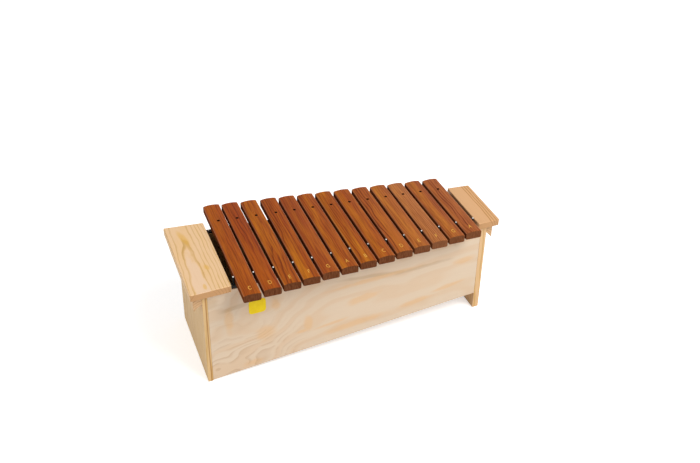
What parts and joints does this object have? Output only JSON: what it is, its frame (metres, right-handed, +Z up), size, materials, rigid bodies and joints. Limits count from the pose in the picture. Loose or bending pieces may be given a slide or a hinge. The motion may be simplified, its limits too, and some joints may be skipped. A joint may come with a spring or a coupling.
{
  "type": "alto xylophone",
  "caption": "Diatonic box xylophone: a tapered wooden resonator box with lift-off hardwood bars on felt strips, located by steel pins, and capped ends to carry it by.",
  "frame": {"origin": "middle of the bounding box, on the floor it stands on", "axes": "+X from the lowest bar to the highest, +Y from the front panel to the rear panel, +Z up"},
  "size_m": [0.6672, 0.3242, 0.2384],
  "materials": {
    "bar_hardwood": "planed red-brown hardwood with dark pores, oiled to a satin",
    "pine": "planed pine with amber growth lines under clear satin lacquer",
    "plywood": "rotary-cut pine veneer with soft flame figure, clear satin lacquer",
    "beech_dowel": "turned beech, bare",
    "black_felt": "dense black wool felt",
    "pin_steel": "bright nickel-plated steel, domed and polished",
    "label_vinyl": "plain yellow vinyl, semi-gloss",
    "pin_tube_rubber": "extruded black rubber tube",
    "gold_foil": "gold foil hot-stamped into the wood, worn matt"
  },
  "bodies": {
    "box": {"front_panel": "plywood", "rear_panel": "plywood", "left_end_board": "pine", "right_end_board": "pine", "bottom_board": "plywood", "left_cap": "pine", "right_cap": "pine", "left_grip_rail": "pine", "right_grip_rail": "pine", "front_bar_strip": "black_felt", "rear_bar_strip": "black_felt", "front_pin_01": "pin_steel", "front_pin_02": "pin_steel", "front_pin_03": "pin_steel", "front_pin_04": "pin_steel", "front_pin_05": "pin_steel", "front_pin_06": "pin_steel", "front_pin_07": "pin_steel", "front_pin_08": "pin_steel", "front_pin_09": "pin_steel", "front_pin_10": "pin_steel", "front_pin_11": "pin_steel", "front_pin_12": "pin_steel", "front_pin_13": "pin_steel", "front_pin_14": "pin_steel", "rear_pin_c4": "pin_steel", "rear_pin_d4": "pin_steel", "rear_pin_e4": "pin_steel", "rear_pin_f4": "pin_steel", "rear_pin_g4": "pin_steel", "rear_pin_a4": "pin_steel", "rear_pin_b4": "pin_steel", "rear_pin_c5": "pin_steel", "rear_pin_d5": "pin_steel", "rear_pin_e5": "pin_steel", "rear_pin_f5": "pin_steel", "rear_pin_g5": "pin_steel", "rear_pin_a5": "pin_steel", "left_strip_tack": "pin_steel", "right_strip_tack": "pin_steel", "left_front_cap_dowel": "beech_dowel", "left_rear_cap_dowel": "beech_dowel", "right_front_cap_dowel": "beech_dowel", "right_rear_cap_dowel": "beech_dowel", "front_label": "label_vinyl"},
    "bar_c4": {"bar_c4": "bar_hardwood"},
    "bar_d4": {"bar_d4": "bar_hardwood"},
    "bar_e4": {"bar_e4": "bar_hardwood"},
    "bar_f4": {"bar_f4": "bar_hardwood"},
    "bar_g4": {"bar_g4": "bar_hardwood"},
    "bar_a4": {"bar_a4": "bar_hardwood"},
    "bar_b4": {"bar_b4": "bar_hardwood"},
    "bar_c5": {"bar_c5": "bar_hardwood"},
    "bar_d5": {"bar_d5": "bar_hardwood"},
    "bar_e5": {"bar_e5": "bar_hardwood"},
    "bar_f5": {"bar_f5": "bar_hardwood"},
    "bar_g5": {"bar_g5": "bar_hardwood"},
    "bar_a5": {"bar_a5": "bar_hardwood"}
  },
  "joints": [
    {"name": "lift_c4", "type": "slide", "parent": "box", "child": "bar_c4", "axis": [0, 0, 1], "range_m": [0, 0.06]},
    {"name": "lift_d4", "type": "slide", "parent": "box", "child": "bar_d4", "axis": [0, 0, 1], "range_m": [0, 0.06]},
    {"name": "lift_e4", "type": "slide", "parent": "box", "child": "bar_e4", "axis": [0, 0, 1], "range_m": [0, 0.06]},
    {"name": "lift_f4", "type": "slide", "parent": "box", "child": "bar_f4", "axis": [0, 0, 1], "range_m": [0, 0.06]},
    {"name": "lift_g4", "type": "slide", "parent": "box", "child": "bar_g4", "axis": [0, 0, 1], "range_m": [0, 0.06]},
    {"name": "lift_a4", "type": "slide", "parent": "box", "child": "bar_a4", "axis": [0, 0, 1], "range_m": [0, 0.06]},
    {"name": "lift_b4", "type": "slide", "parent": "box", "child": "bar_b4", "axis": [0, 0, 1], "range_m": [0, 0.06]},
    {"name": "lift_c5", "type": "slide", "parent": "box", "child": "bar_c5", "axis": [0, 0, 1], "range_m": [0, 0.06]},
    {"name": "lift_d5", "type": "slide", "parent": "box", "child": "bar_d5", "axis": [0, 0, 1], "range_m": [0, 0.06]},
    {"name": "lift_e5", "type": "slide", "parent": "box", "child": "bar_e5", "axis": [0, 0, 1], "range_m": [0, 0.06]},
    {"name": "lift_f5", "type": "slide", "parent": "box", "child": "bar_f5", "axis": [0, 0, 1], "range_m": [0, 0.06]},
    {"name": "lift_g5", "type": "slide", "parent": "box", "child": "bar_g5", "axis": [0, 0, 1], "range_m": [0, 0.06]},
    {"name": "lift_a5", "type": "slide", "parent": "box", "child": "bar_a5", "axis": [0, 0, 1], "range_m": [0, 0.06]}
  ]
}
